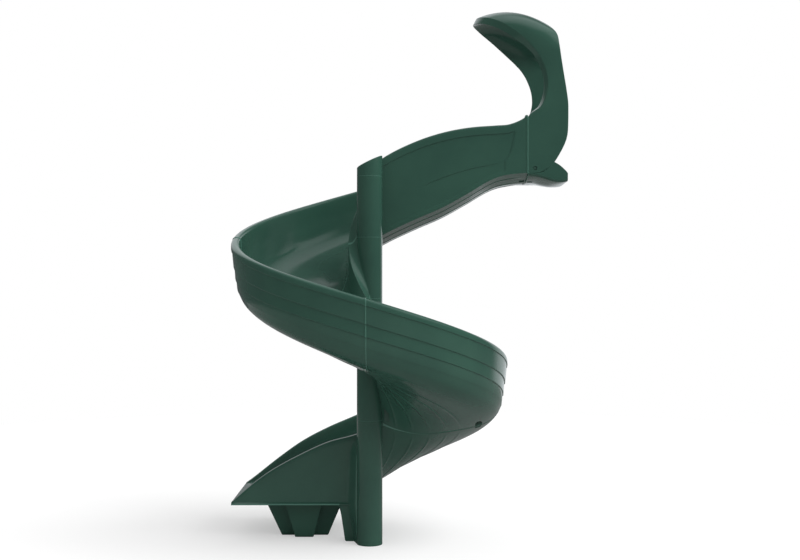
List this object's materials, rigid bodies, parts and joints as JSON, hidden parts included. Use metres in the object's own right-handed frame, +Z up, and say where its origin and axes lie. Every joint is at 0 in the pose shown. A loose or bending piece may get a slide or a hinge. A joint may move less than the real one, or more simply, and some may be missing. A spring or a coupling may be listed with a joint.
{
  "type": "spiral slide",
  "caption": "Moulded plastic spiral slide that makes one full turn around a centre post, with a hooded entrance at deck height and a low run-out exit.",
  "frame": {"origin": "centre of the post's foot, on the ground", "axes": "+Z up; +X from the post towards the deck the slide is entered from; +Y from the post towards the side where the entrance and exit runs lie"},
  "size_m": [1.993, 1.6084, 3.195],
  "materials": {
    "green_polyethylene": "satin-gloss rotomoulded polyethylene, dark green",
    "galvanised_steel": "hot-dip galvanised",
    "black_plastic": "matte",
    "zinc_plated_steel": "zinc plated"
  },
  "bodies": {
    "root": {"entrance_hood": "green_polyethylene", "entrance_sill": "green_polyethylene", "upper_chute": "green_polyethylene", "spiral_section_1": "green_polyethylene", "spiral_section_2": "green_polyethylene", "spiral_section_3": "green_polyethylene", "spiral_section_4": "green_polyethylene", "exit_section": "green_polyethylene", "exit_foot": "green_polyethylene", "centre_post": "galvanised_steel", "post_base_plate": "galvanised_steel", "post_cap": "black_plastic", "hub_bolt_joint_1": "zinc_plated_steel", "hub_bolt_joint_2": "zinc_plated_steel", "hub_bolt_joint_3": "zinc_plated_steel", "hub_bolt_joint_4": "zinc_plated_steel", "hub_bolt_joint_5": "zinc_plated_steel", "hub_insert_joint_1": "zinc_plated_steel", "hub_insert_joint_2": "zinc_plated_steel", "hub_insert_joint_3": "zinc_plated_steel", "hub_insert_joint_4": "zinc_plated_steel", "hub_insert_joint_5": "zinc_plated_steel", "bolt_joint_1_1": "zinc_plated_steel", "bolt_joint_2_1": "zinc_plated_steel", "bolt_joint_3_1": "zinc_plated_steel", "bolt_joint_4_1": "zinc_plated_steel", "bolt_joint_5_1": "zinc_plated_steel", "nut_joint_1_1": "zinc_plated_steel", "nut_joint_2_1": "zinc_plated_steel", "nut_joint_3_1": "zinc_plated_steel", "nut_joint_4_1": "zinc_plated_steel", "nut_joint_5_1": "zinc_plated_steel", "bolt_entrance_1": "zinc_plated_steel", "bolt_entrance_2": "zinc_plated_steel", "nut_entrance_1": "zinc_plated_steel", "nut_entrance_2": "zinc_plated_steel", "hood_bolt_near": "zinc_plated_steel", "hood_bolt_far": "zinc_plated_steel", "hood_insert_near": "zinc_plated_steel", "hood_insert_far": "zinc_plated_steel", "foot_bolt_near": "zinc_plated_steel", "foot_bolt_far": "zinc_plated_steel"}
  },
  "joints": []
}
